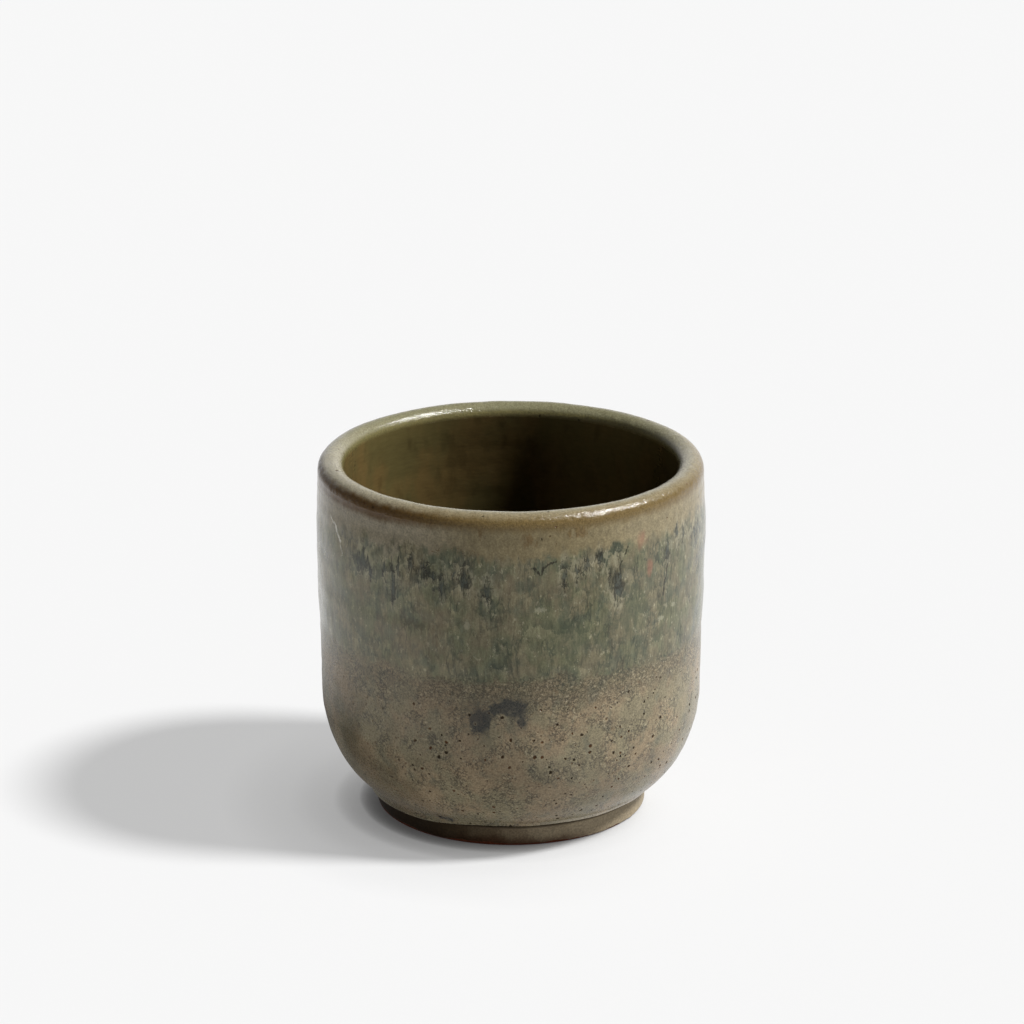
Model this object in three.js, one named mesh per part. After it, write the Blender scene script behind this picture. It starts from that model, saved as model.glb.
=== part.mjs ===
// A handleless stoneware coffee cup: a thrown clay body on a luted foot ring, under five coats of glaze.
// Millimetres, +Z up, with the origin at the centre of the ring that stands on the table.
import * as THREE from 'three';

// Finished sizes, measured over the glaze.
const HEIGHT = 75;
const BODY_DIAMETER = 80;
const LIP_DRAW_IN = 0.4;
const LIP_THICKNESS = 5.4;
const SHOULDER_DRAW_IN = 0.75;
const FOOT_DIAMETER = 56;

// Heights and distances along the wall.
const FOOT_HEIGHT = 4.6;
const SHOULDER_HEIGHT = 26;
const WIDEST_BELOW_LIP = 10;
const UPPER_EDGE_RISE = 14.5;

// Clay.
const WALL_THICKNESS = 4.4;
const FLOOR_THICKNESS = 6;
const FLOOR_DIAMETER = 40;
const BOWL_OVERHANG = 1.3;
const BOWL_RUN_ON = 1.9;
const FOOT_WIDTH = 6;
const FOOT_EDGE_RADIUS = 0.8;
const FOOT_GROOVE_RADIUS = 0.7;
const FOOT_WELL_TAPER = 0.8;

// Glaze coats, and the gap that keeps each coat just off what it lies on.
const BASE_GLAZE = 0.5;
const UPPER_GLAZE = 0.25;
const LIP_GLAZE = 0.35;
const LINER_GLAZE = 0.5;
const FOOT_GLAZE = 0.35;
const FOOT_BARE_STRIP = 1.2;
const BOND_GAP = 0.02;

// The upper coat ran in the kiln: its lower edge is a sum of waves round the cup and ends in a rolled bead.
const RUNS = [
  { count: 3, drop: 0.7, turn: 0.4 },
  { count: 5, drop: 0.6, turn: 2.1 },
  { count: 8, drop: 0.45, turn: 4.0 },
  { count: 13, drop: 0.35, turn: 1.2 },
];
const BEAD = [
  { rise: 0, share: 0 },
  { rise: 0.12, share: 0.5 },
  { rise: 0.4, share: 0.85 },
  { rise: 1.0, share: 1.15 },
  { rise: 2.4, share: 1 },
];

// Facets.
const SIDES = 48;
const RUN_SIDES = 96;
const BOWL_STEPS = 6;
const COLLAR_STEPS = 4;
const LIP_STEPS = 8;
const EDGE_STEPS = 3;

const point = (radius, height) => new THREE.Vector2(radius, height);
const footTop = FOOT_HEIGHT - BOND_GAP;

// Ellipse that stands upright at `top`, passes through `bottom` and would turn level `runOn` below it.
function bowlCurve(bottom, top, runOn) {
  const drop = top.y - bottom.y;
  const depth = drop + runOn;
  const from = -Math.asin(drop / depth);
  const width = (top.x - bottom.x) / (1 - Math.cos(from));
  return new THREE.EllipseCurve(top.x - width, top.y, width, depth, from, 0).getPoints(BOWL_STEPS);
}

// Points of a round edge, turning anticlockwise in the profile's plane from one angle to another.
function roundEdge(centre, radius, from, to, steps) {
  return new THREE.EllipseCurve(centre.x, centre.y, radius, radius, from, to).getPoints(steps);
}

// Moves each point of a line to its right by its own distance.
function offset(line, distances) {
  return line.map((here, i) => {
    const before = line[Math.max(i - 1, 0)];
    const after = line[Math.min(i + 1, line.length - 1)];
    const along = after.clone().sub(before).normalize();
    return here.clone().addScaledVector(point(along.y, -along.x), distances[i]);
  });
}

// Outline of a coat between its bonded side and its free side, closed unless it ends on the axis.
function coatOutline(bonded, free) {
  const outline = [...bonded.toReversed(), ...free].filter((p, i, all) => !i || !p.equals(all[i - 1]));
  const onAxis = outline[0].x === 0;
  return onAxis || outline[0].equals(outline.at(-1)) ? outline : [...outline, outline[0].clone()];
}

// The same distance for each point of a line.
const even = (line, distance) => line.map(() => distance);

// Point of the straight from `low` to `high` at a height.
function atHeight(low, high, height) {
  return low.clone().lerp(high, (height - low.y) / (high.y - low.y));
}

// Clay profile: up the outside, over the lip and down the inside to the middle of the floor.
const bodyRadius = BODY_DIAMETER / 2;
const lipRadius = LIP_THICKNESS / 2 - LIP_GLAZE - BOND_GAP;
const springHeight = HEIGHT - LIP_THICKNESS / 2;
const spring = point(bodyRadius - LIP_DRAW_IN - LIP_GLAZE - BOND_GAP, springHeight);
const widest = point(bodyRadius - BASE_GLAZE - UPPER_GLAZE - 2 * BOND_GAP, springHeight - WIDEST_BELOW_LIP);
const shoulder = point(bodyRadius - SHOULDER_DRAW_IN - BASE_GLAZE - BOND_GAP, SHOULDER_HEIGHT);
const bowlEdge = point(FOOT_DIAMETER / 2 + BOWL_OVERHANG - BASE_GLAZE - BOND_GAP, FOOT_HEIGHT);

const bowl = bowlCurve(bowlEdge, shoulder, BOWL_RUN_ON);
const collar = new THREE.LineCurve(widest, spring).getPoints(COLLAR_STEPS);
const lipCentre = point(spring.x - lipRadius, springHeight);
const lip = roundEdge(lipCentre, lipRadius, 0, Math.PI, LIP_STEPS);

const floorHeight = FOOT_HEIGHT + FLOOR_THICKNESS;
const innerWidest = point(widest.x - WALL_THICKNESS, widest.y);
const innerShoulder = point(shoulder.x - WALL_THICKNESS, shoulder.y);
const floorEdge = point(FLOOR_DIAMETER / 2, floorHeight);
const innerBowl = bowlCurve(floorEdge, innerShoulder, 0).toReversed();
const inside = [lip.at(-1), innerWidest, ...innerBowl, point(0, floorHeight)];
const outside = [...bowl, ...collar];

// Solids of revolution about +Z.
function turned(outline, sides = SIDES) {
  return new THREE.LatheGeometry(outline, sides).rotateX(Math.PI / 2);
}

function clayBody() {
  const clay = [point(0, FOOT_HEIGHT), ...outside, ...lip.slice(1), ...inside.slice(1)];
  return turned(clay);
}

// The ring tapers in under the floor and has a rounded standing edge and a rounded groove under the bowl.
function footRing() {
  const outer = FOOT_DIAMETER / 2 - FOOT_GLAZE - BOND_GAP;
  const inner = FOOT_DIAMETER / 2 - FOOT_WIDTH;
  const edge = FOOT_EDGE_RADIUS;
  const groove = FOOT_GROOVE_RADIUS;
  const quarter = Math.PI / 2;
  const outline = [
    ...roundEdge(point(inner + edge, edge), edge, 2 * quarter, 3 * quarter, EDGE_STEPS),
    ...roundEdge(point(outer - edge, edge), edge, -quarter, 0, EDGE_STEPS),
    ...roundEdge(point(outer - groove, footTop - groove), groove, 0, quarter, EDGE_STEPS),
    point(inner - FOOT_WELL_TAPER, footTop),
  ];
  return turned([...outline, outline[0].clone()]);
}

// The liner thins where it meets the lip's coat.
function linerGlaze() {
  const thickness = even(inside, LINER_GLAZE);
  thickness[0] = LIP_GLAZE;
  const bonded = offset(inside, even(inside, BOND_GAP));
  const free = offset(inside, thickness.map((t) => t + BOND_GAP));
  return turned(coatOutline(bonded, free));
}

function lipGlaze() {
  const bonded = roundEdge(lipCentre, lipRadius + BOND_GAP, 0, Math.PI, LIP_STEPS);
  const free = roundEdge(lipCentre, lipRadius + BOND_GAP + LIP_GLAZE, 0, Math.PI, LIP_STEPS);
  return turned(coatOutline(bonded, free));
}

// The base coat thins towards the lip and draws in where it beads above the foot.
const baseThickness = even(outside, BASE_GLAZE);
baseThickness[0] = BASE_GLAZE / 2;
baseThickness[outside.length - 1] = LIP_GLAZE;
const baseFree = offset(outside, baseThickness.map((t) => t + BOND_GAP));

function baseGlaze() {
  return turned(coatOutline(offset(outside, even(outside, BOND_GAP)), baseFree));
}

// Drop of the upper coat's edge below its mean height, at an angle round the cup.
function runAt(angle) {
  return RUNS.reduce((sum, run) => sum + run.drop * Math.sin(run.count * angle + run.turn), 0);
}

// The upper coat feathers out under the lip. Below the middle of its straight stretch it slides down
// the wall with the run.
function upperGlaze() {
  const [low, high] = baseFree.slice(bowl.length - 1, bowl.length + 1);
  const edgeHeight = SHOULDER_HEIGHT + UPPER_EDGE_RISE;
  const steady = atHeight(low, high, (edgeHeight + high.y) / 2);
  const bead = BEAD.map(({ rise }) => atHeight(low, high, edgeHeight + rise));
  const feathered = baseFree.slice(bowl.length, -1);
  const feather = feathered.map((_, i) => 1 - (i / (feathered.length - 1)) ** 2);
  const line = [...bead, steady, ...feathered];
  const share = [...BEAD.map((b) => b.share), 1, ...feather];
  const bonded = offset(line, even(line, BOND_GAP));
  const free = offset(line, share.map((s) => s * UPPER_GLAZE + BOND_GAP));
  const outline = coatOutline(bonded, free);

  const geometry = new THREE.LatheGeometry(outline, RUN_SIDES);
  const slope = high.clone().sub(low);
  const place = geometry.getAttribute('position');
  for (let side = 0; side <= RUN_SIDES; side++) {
    const angle = (2 * Math.PI * side) / RUN_SIDES;
    outline.forEach((p, row) => {
      if (p.y >= steady.y) return;
      const drop = (runAt(angle) * (steady.y - p.y)) / (steady.y - edgeHeight);
      const radius = p.x - (drop * slope.x) / slope.y;
      const index = side * outline.length + row;
      place.setXYZ(index, radius * Math.sin(angle), p.y - drop, radius * Math.cos(angle));
    });
  }
  return geometry.rotateX(Math.PI / 2);
}

// The foot's coat stops short of the table and tapers at both ends.
function footGlaze() {
  const outer = FOOT_DIAMETER / 2 - FOOT_GLAZE;
  const low = FOOT_BARE_STRIP;
  const high = footTop - FOOT_GROOVE_RADIUS;
  const bonded = [point(outer, low), point(outer, high)];
  const free = [
    point(outer, low),
    point(outer + FOOT_GLAZE, low + FOOT_GLAZE),
    point(outer + FOOT_GLAZE, high - FOOT_GLAZE),
    point(outer, high),
  ];
  return turned(coatOutline(bonded, free));
}

// The pieces, each with its finish: fired clay, and glazes from olive through brown and buff to grey green.
const pieces = [
  { name: 'stoneware_body', geometry: clayBody(), color: '#6b5340', roughness: 0.85 },
  { name: 'foot_ring', geometry: footRing(), color: '#4a3324', roughness: 0.8 },
  { name: 'liner_glaze', geometry: linerGlaze(), color: '#57492c', roughness: 0.2 },
  { name: 'lip_glaze', geometry: lipGlaze(), color: '#83714e', roughness: 0.25 },
  { name: 'base_glaze', geometry: baseGlaze(), color: '#857a64', roughness: 0.4 },
  { name: 'upper_glaze', geometry: upperGlaze(), color: '#6d6a58', roughness: 0.25 },
  { name: 'foot_glaze', geometry: footGlaze(), color: '#5c5142', roughness: 0.35 },
];

const cup = new THREE.Group();
for (const { name, geometry, color, roughness } of pieces) {
  const mesh = new THREE.Mesh(geometry, new THREE.MeshStandardMaterial({ color, roughness, metalness: 0 }));
  mesh.name = name;
  cup.add(mesh);
}

export default cup;
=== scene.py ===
import math

import bmesh
import bpy
import numpy as np
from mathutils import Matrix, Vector


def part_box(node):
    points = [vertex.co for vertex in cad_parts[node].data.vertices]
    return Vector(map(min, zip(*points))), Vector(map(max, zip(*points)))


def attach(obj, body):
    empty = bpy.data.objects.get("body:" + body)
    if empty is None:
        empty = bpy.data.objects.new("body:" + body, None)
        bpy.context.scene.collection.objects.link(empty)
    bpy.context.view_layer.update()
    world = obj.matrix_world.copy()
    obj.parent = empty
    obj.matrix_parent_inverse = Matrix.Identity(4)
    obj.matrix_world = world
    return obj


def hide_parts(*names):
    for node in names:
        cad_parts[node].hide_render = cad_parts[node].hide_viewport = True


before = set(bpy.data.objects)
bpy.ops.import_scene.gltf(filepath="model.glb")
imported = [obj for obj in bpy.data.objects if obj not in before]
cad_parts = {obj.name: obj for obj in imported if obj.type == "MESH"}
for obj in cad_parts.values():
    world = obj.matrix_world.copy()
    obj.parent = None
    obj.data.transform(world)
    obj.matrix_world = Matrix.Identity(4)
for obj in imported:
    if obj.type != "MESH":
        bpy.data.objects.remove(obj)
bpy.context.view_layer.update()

# A handleless stoneware coffee cup. Sizes are in millimetres and are turned into metres in the meshes.
MM = 0.001


def span(node):
    """Lowest and highest corner of a node of the frame, in millimetres."""
    low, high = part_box(node)
    return np.array(low) / MM, np.array(high) / MM


# Coats: their thicknesses, how far behind the skin their bonded sides lie, and how they ran in the kiln.
BASE_COAT = 0.5
UPPER_COAT = 0.25
LINER_COAT = 0.5
COAT_BACK = 0.46
LIP_BACK = 0.33
BOND_GAP = 0.02
RUN_HEIGHT = 40.5
RUN_WANDER, RUN_RIPPLE = 0.6, 0.25
UPPER_SWELL, UPPER_FEATHER = 9.0, 8.0
BEAD_ALONG, BEAD_HEIGHT, BEAD_WIDTH = 1.7, 0.35, 0.55
SAG_DROP, SAG_ANGLE, SAG_REACH = 1.0, -55.0, 34.0
FOOT_COAT_LOWER, FOOT_COAT_HIGHER, FOOT_COAT_RIGHT = 0.65, 0.35, 0.3
FOOT_COAT_WANDER, FOOT_COAT_RIPPLE, FOOT_COAT_TAPER = 0.1, 0.04, 0.5

# Unevenness of the surface.
LUMP_HEIGHT, DIMPLE_HEIGHT, THROWING_HEIGHT = 0.03, 0.01, 0.018
WIDE_RING, NARROW_RING = 5.5, 3.4
CALM_RADIUS = 12.0
FOOT_LUMP_HEIGHT = 0.04
TURNING_HEIGHT, TURNING_RATE = 0.05, 2.6
DOME_HEIGHT, DOME_RADIUS = 0.25, 9.0

# Sizes of the turned form that the frame's boxes don't give.
WIDEST_BELOW_LIP = 10.0
SHOULDER_HEIGHT = 26.0
SHOULDER_DRAW_IN = 0.75
WALL_THICKNESS = 4.4
BOWL_START_INSET = 0.1
BOWL_OVERHANG = 0.7
BOWL_EDGE_RISE = 0.25
BOWL_RUN_ON = 1.9
FLOOR_RADIUS = 20.0
FOOT_WIDTH = 6.0
RING_SWELL = 0.2
RING_EDGE = 0.5
RING_GROOVE = 0.7
WELL_TAPER = 0.8
CLAY_INSET = 0.4

# Sizes from the frame.
lip_low, lip_high = span("lip_glaze")
foot_low, foot_high = span("foot_glaze")
upper_high = span("upper_glaze")[1]
ring_high = span("foot_ring")[1]
liner_low = span("liner_glaze")[0]
body_low = span("stoneware_body")[0]

TOP = lip_high[2]
SPRING = lip_low[2]
LIP_RADIUS = lip_high[0]
LIP_ROUND = TOP - SPRING
BODY_RADIUS = upper_high[0]
FEATHER_HEIGHT = upper_high[2]
UNDERSIDE = body_low[2]
FOOT_RADIUS = foot_high[0]
RING_TOP = ring_high[2]
FLOOR_HEIGHT = liner_low[2] + LINER_COAT

# Sizes worked out from both.
WIDEST_HEIGHT = SPRING - WIDEST_BELOW_LIP
SHOULDER_RADIUS = BODY_RADIUS - SHOULDER_DRAW_IN
WALL_AND_COATS = WALL_THICKNESS + BASE_COAT + LINER_COAT + 2 * BOND_GAP
INNER_SHOULDER_RADIUS = SHOULDER_RADIUS - WALL_AND_COATS
INNER_WIDEST_RADIUS = BODY_RADIUS - WALL_AND_COATS - UPPER_COAT - BOND_GAP
BOWL_EDGE_RADIUS = FOOT_RADIUS + BOWL_OVERHANG
BOWL_EDGE_HEIGHT = UNDERSIDE + BOWL_EDGE_RISE
RING_RADIUS = ring_high[0] + RING_SWELL
RING_WIDTH = FOOT_WIDTH - (FOOT_RADIUS - RING_RADIUS)

# Mesh density.
COLUMNS = 420
ROW_STEP = 0.6
ROW_STEP_UNDER = 0.5
ROW_STEP_RING = 0.25
BEAD_STEP = 0.2
HIDDEN_STEP = 3.0
SKIN_STEP = 0.1
SOFT_POINTS = 5
EDGE_SHARES = [0, 0.004, 0.012, 0.024]
HIDDEN_MAP_SHARE = 0.08
SHARP_ANGLE = 50.0


# Profile of the finished cup: from the groove over the foot, over the lip, to the middle of the floor.
def ellipse(centre, radii, start, end, count=60):
    angle = np.radians(np.linspace(start, end, count))
    return np.stack([centre[0] + radii[0] * np.cos(angle), centre[1] + radii[1] * np.sin(angle)], 1)


def bowl_curve(bottom, top, run_on):
    """Ellipse that stands upright at top, passes through bottom and would turn level run_on below it."""
    drop = top[1] - bottom[1]
    depth = drop + run_on
    start = -math.degrees(math.asin(drop / depth))
    width = (top[0] - bottom[0]) / (1 - math.cos(math.radians(start)))
    return ellipse((top[0] - width, top[1]), (width, depth), start, 0)


def resample(points, step):
    """The same line with evenly spaced points."""
    length = np.concatenate([[0], np.cumsum(np.hypot(*np.diff(points, axis=0).T))])
    along = np.linspace(0, length[-1], int(length[-1] / step) + 1)
    return np.stack([np.interp(along, length, points[:, k]) for k in range(2)], 1)


def soften(points, width):
    """Rounds the corners of an evenly spaced line over about width points, with its ends held."""
    reach = 3 * width
    kernel = np.exp(-0.5 * (np.arange(-reach, reach + 1) / width) ** 2)
    kernel /= kernel.sum()
    padded = np.concatenate(
        [2 * points[0] - points[reach:0:-1], points, 2 * points[-1] - points[-2 : -reach - 2 : -1]]
    )
    return np.stack([np.convolve(padded[:, k], kernel, "valid") for k in range(2)], 1)


def finished_profile():
    shoulder = (SHOULDER_RADIUS, SHOULDER_HEIGHT)
    edge = (BOWL_EDGE_RADIUS, BOWL_EDGE_HEIGHT)
    inner_shoulder = (INNER_SHOULDER_RADIUS, SHOULDER_HEIGHT)
    parts = [
        np.array([(FOOT_RADIUS - BOWL_START_INSET, UNDERSIDE)]),
        bowl_curve(edge, shoulder, BOWL_RUN_ON),
        np.array([(BODY_RADIUS - UPPER_COAT, WIDEST_HEIGHT)]),
        ellipse((LIP_RADIUS - LIP_ROUND, SPRING), (LIP_ROUND, LIP_ROUND), 0, 180),
        np.array([(INNER_WIDEST_RADIUS, WIDEST_HEIGHT)]),
        bowl_curve((FLOOR_RADIUS, FLOOR_HEIGHT), inner_shoulder, 0)[::-1],
        np.array([(0.0, FLOOR_HEIGHT)]),
    ]
    return soften(resample(np.concatenate(parts), SKIN_STEP), SOFT_POINTS)


skin = finished_profile()
skin_along = np.concatenate([[0], np.cumsum(np.hypot(*np.diff(skin, axis=0).T))])
skin_way = np.gradient(skin, axis=0)
skin_way /= np.linalg.norm(skin_way, axis=1)[:, None]
skin_way[-1] = (-1.0, 0.0)
turn = np.radians(np.arange(COLUMNS) * 360 / COLUMNS)


def along_at(height, inside=False):
    """Distance along the skin at which it passes a height on its outer or inner side."""
    crest = int(np.argmax(skin[:, 1]))
    if inside:
        return float(np.interp(-height, -skin[crest:, 1], skin_along[crest:]))
    return float(np.interp(height, skin[:crest, 1], skin_along[:crest]))


def waves(seed, count, shortest, longest, tall=1.0):
    """Smooth noise of about unit size over the unrolled surface, tall times as high as wide. It closes
    round the cup."""
    rng = np.random.default_rng(seed)
    length = np.exp(rng.uniform(np.log(shortest), np.log(longest), count))
    heading = rng.uniform(0, 2 * np.pi, count)
    shift = rng.uniform(0, 2 * np.pi, count)
    round_count = np.rint(2 * np.pi * BODY_RADIUS / length * np.cos(heading))
    up_rate = 2 * np.pi / length * np.sin(heading) / tall

    def value(angle, along):
        total = np.zeros(np.broadcast(angle, along).shape)
        for k, m, p in zip(round_count, up_rate, shift):
            total += np.cos(k * angle + m * along + p)
        return total * math.sqrt(2 / count)

    return value


lumps = waves(seed=3, count=40, shortest=9, longest=24)
dimples = waves(seed=5, count=60, shortest=2.2, longest=6, tall=1.4)


def relief(angle, along):
    """Unevenness of the finished surface: lumps, dimples, throwing rings and the bead over the foot."""
    wide = np.sin(2 * np.pi * along / WIDE_RING + angle)
    narrow = 0.6 * np.sin(2 * np.pi * along / NARROW_RING - angle + 1.0)
    throwing = THROWING_HEIGHT * (wide + narrow)
    bead = BEAD_HEIGHT * np.exp(-(((along - BEAD_ALONG) / BEAD_WIDTH) ** 2))
    return LUMP_HEIGHT * lumps(angle, along) + DIMPLE_HEIGHT * dimples(angle, along) + throwing + bead


def sag(along):
    """How far the base coat ran down over the foot, on the cup's left."""
    left = (np.degrees(turn) - SAG_ANGLE) % 360 - 180
    return SAG_DROP * np.exp(-((left / SAG_REACH) ** 4) - ((along - BEAD_ALONG) / (2 * BEAD_WIDTH)) ** 2)


def surface(along, lift=0.0, smooth=False):
    """Rows of points on the skin, lifted off it. along has one value for each row, or for each point."""
    along = np.asarray(along, float)
    along = np.broadcast_to(along[:, None] if along.ndim == 1 else along, (len(along), COLUMNS))
    radius, height = (np.interp(along, skin_along, skin[:, k]) for k in range(2))
    way_out, way_up = (np.interp(along, skin_along, skin_way[:, k]) for k in range(2))
    off = lift + (0 if smooth else relief(turn, along) * np.clip(radius / CALM_RADIUS, 0, 1))
    drop = 0 if smooth else sag(along)
    return rings_of(radius + way_up * off, height - way_out * off - drop)


def rings_of(radius, height):
    """Points round the axis for rows of radius and height, with the first column at the back."""
    return np.stack([-radius * np.sin(turn), radius * np.cos(turn), height + 0 * turn], 2)


def rows(start, end, step):
    return np.linspace(start, end, max(3, int(abs(end - start) / step) + 1))


# Meshes.
def revolve(name, points, closed, shown_rows):
    """Mesh of rows of points round the axis. A closed one joins its last row to its first, and another has
    its first and last rows on the axis. The bake map gives the shown rows most of its height."""
    count, columns = points.shape[:2]
    cells = count if closed else count - 1
    row, column = np.meshgrid(np.arange(cells), np.arange(columns), indexing="ij")
    after, beside = (row + 1) % count, (column + 1) % columns
    low, high = row * columns, after * columns
    corners = np.stack([low + column, low + beside, high + beside, high + column], 2).reshape(-1, 4)
    step = np.linalg.norm(np.diff(points[:, 0], axis=0, append=points[:1, 0]), axis=1)[:cells]
    step = np.where(np.arange(cells) < shown_rows, step, step * HIDDEN_MAP_SHARE)
    level = np.concatenate([[0], np.cumsum(step)]) / step.sum()
    across = np.stack([column, column + 1, column + 1, column], 2) / columns
    up = np.stack([level[row], level[row], level[row + 1], level[row + 1]], 2)
    maps = np.stack([across, up], 3).reshape(-1, 4, 2)

    vertices = points.reshape(-1, 3) * MM
    flat = np.zeros(len(corners), bool)
    if not closed:
        flat |= (corners < columns).all(1) | (corners >= (count - 1) * columns).all(1)
    mesh = bpy.data.meshes.new(name)
    mesh.from_pydata(vertices.tolist(), [], corners[~flat].tolist())
    layer = mesh.uv_layers.new(name="OFBake")
    layer.uv.foreach_set("vector", maps[~flat].reshape(-1).astype(np.float32))
    piece = bpy.data.objects.new(name, mesh)
    bpy.context.scene.collection.objects.link(piece)
    return piece


def tidy(piece, material, node):
    """Welds the points on the axis, smooths the shading, adds the material, attaches the piece to the root
    and hides the node it stands for.
    """
    shape = bmesh.new()
    shape.from_mesh(piece.data)
    bmesh.ops.remove_doubles(shape, verts=shape.verts, dist=1e-7)
    bmesh.ops.recalc_face_normals(shape, faces=shape.faces)
    shape.to_mesh(piece.data)
    shape.free()
    piece.data.shade_smooth()
    piece.data.set_sharp_from_angle(angle=math.radians(SHARP_ANGLE))
    piece.data.materials.append(material)
    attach(piece, "root")
    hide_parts(node)


# Node trees.
def colour(code):
    """Linear colour of an sRGB hex code."""
    parts = [int(code[i : i + 2], 16) / 255 for i in (1, 3, 5)]
    return [p / 12.92 if p <= 0.04045 else ((p + 0.055) / 1.055) ** 2.4 for p in parts] + [1.0]


NOISE_LOW, NOISE_HIGH = 0.34, 0.66


class Paint:
    """One material's nodes. Lengths in them are millimetres."""

    def __init__(self, name):
        self.material = bpy.data.materials.new(name)
        self.material.use_nodes = True
        self.tree = self.material.node_tree
        self.shader = self.tree.nodes["Principled BSDF"]
        where = self.add("ShaderNodeTexCoord").outputs["Object"]
        self.place = self.vector("SCALE", where, scale=1 / MM)
        self.x, self.y, self.z = self.add("ShaderNodeSeparateXYZ", {"Vector": self.place}).outputs
        squares = [self.math("POWER", part, 2) for part in (self.x, self.y)]
        self.radius = self.math("SQRT", self.plus(*squares))
        self.angle = self.math("ARCTAN2", self.x, self.math("MULTIPLY", self.y, -1))
        self.round = self.math("MULTIPLY", self.angle, BODY_RADIUS)
        self.side = self.math("MULTIPLY", self.math("SINE", self.angle), BODY_RADIUS)
        self.unrolled = self.join(self.round, self.z, 0)

    def add(self, kind, inputs=None, **settings):
        node = self.tree.nodes.new(kind)
        for key, value in settings.items():
            setattr(node, key, value)
        for key, value in (inputs or {}).items():
            self.feed(node.inputs[key], value)
        return node

    def feed(self, socket, value):
        if isinstance(value, bpy.types.NodeSocket):
            self.tree.links.new(value, socket)
        else:
            socket.default_value = value

    def math(self, operation, a, b=0.0, c=0.0):
        node = self.add("ShaderNodeMath", {0: a, 1: b, 2: c}, operation=operation)
        return node.outputs[0]

    def times(self, *values):
        total = values[0]
        for value in values[1:]:
            total = self.math("MULTIPLY", total, value)
        return total

    def plus(self, *values):
        total = values[0]
        for value in values[1:]:
            total = self.math("ADD", total, value)
        return total

    def most(self, *values):
        total = values[0]
        for value in values[1:]:
            total = self.math("MAXIMUM", total, value)
        return total

    def less(self, value):
        return self.math("SUBTRACT", 1.0, value)

    def vector(self, operation, a, b=(0, 0, 0), scale=1.0):
        node = self.add("ShaderNodeVectorMath", {0: a, 1: b, 3: scale}, operation=operation)
        return node.outputs["Value" if operation in ("LENGTH", "DOT_PRODUCT") else "Vector"]

    def join(self, x, y, z):
        return self.add("ShaderNodeCombineXYZ", {0: x, 1: y, 2: z}).outputs[0]

    def step(self, value, low, high):
        """0 below low, 1 above high and smooth between, or falling where high is below low."""
        node = self.add(
            "ShaderNodeMapRange",
            {"Value": value, "From Min": low, "From Max": high},
            interpolation_type="SMOOTHSTEP",
        )
        return node.outputs[0]

    def span(self, value, low, high, to_low, to_high):
        node = self.add(
            "ShaderNodeMapRange",
            {"Value": value, "From Min": low, "From Max": high, "To Min": to_low, "To Max": to_high},
        )
        return node.outputs[0]

    def swing(self, noise, to_low, to_high):
        """The usual range of a noise, spread between two values."""
        return self.span(noise, NOISE_LOW, NOISE_HIGH, to_low, to_high)

    def centred(self, value):
        return self.math("SUBTRACT", value, 0.5)

    def noise_node(self, size, detail=2.0, tall=1.0, seed=0.0, at=None, rough=0.5):
        where = self.vector("MULTIPLY", at or self.place, (1, 1, 1 / tall))
        where = self.vector("ADD", where, (seed * 17.0, seed * 31.0, seed * 7.0))
        return self.add(
            "ShaderNodeTexNoise", {"Vector": where, "Scale": 1 / size, "Detail": detail, "Roughness": rough}
        )

    def noise(self, *shape, **more):
        """Noise from 0 to 1 with features of about a size, tall times as high as wide."""
        return self.noise_node(*shape, **more).outputs["Fac"]

    def centred_colour(self, node):
        """Three values of a noise node about 0, as a vector."""
        return self.vector("SUBTRACT", node.outputs["Color"], (0.5, 0.5, 0.5))

    def round_noise(self, size, detail=1.0, seed=0.0):
        """Noise that changes only round the cup."""
        where = self.join(self.x, self.y, seed * 13.0)
        node = self.add("ShaderNodeTexNoise", {"Vector": where, "Scale": 1 / size, "Detail": detail})
        return node.outputs["Fac"]

    def mix(self, factor, a, b):
        node = self.add("ShaderNodeMix", {"Factor": factor}, data_type="RGBA")
        self.feed(node.inputs[6], colour(a) if isinstance(a, str) else a)
        self.feed(node.inputs[7], colour(b) if isinstance(b, str) else b)
        return node.outputs[2]

    def shade(self, base, factor):
        """A colour times a value."""
        node = self.add("ShaderNodeMix", {"Factor": 1.0}, data_type="RGBA", blend_type="MULTIPLY")
        self.feed(node.inputs[6], base)
        self.feed(node.inputs[7], self.join(factor, factor, factor))
        return node.outputs[2]

    def finish(self, base, roughness, height, depth, ior=1.46):
        """Sets the shader: base colour, roughness, and bumps of a depth in millimetres."""
        bump = self.add("ShaderNodeBump", {"Height": height, "Distance": depth * MM})
        self.feed(self.shader.inputs["Base Color"], base)
        self.feed(self.shader.inputs["Roughness"], roughness)
        self.feed(self.shader.inputs["Normal"], bump.outputs[0])
        self.shader.inputs["IOR"].default_value = ior
        return self.material


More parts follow.
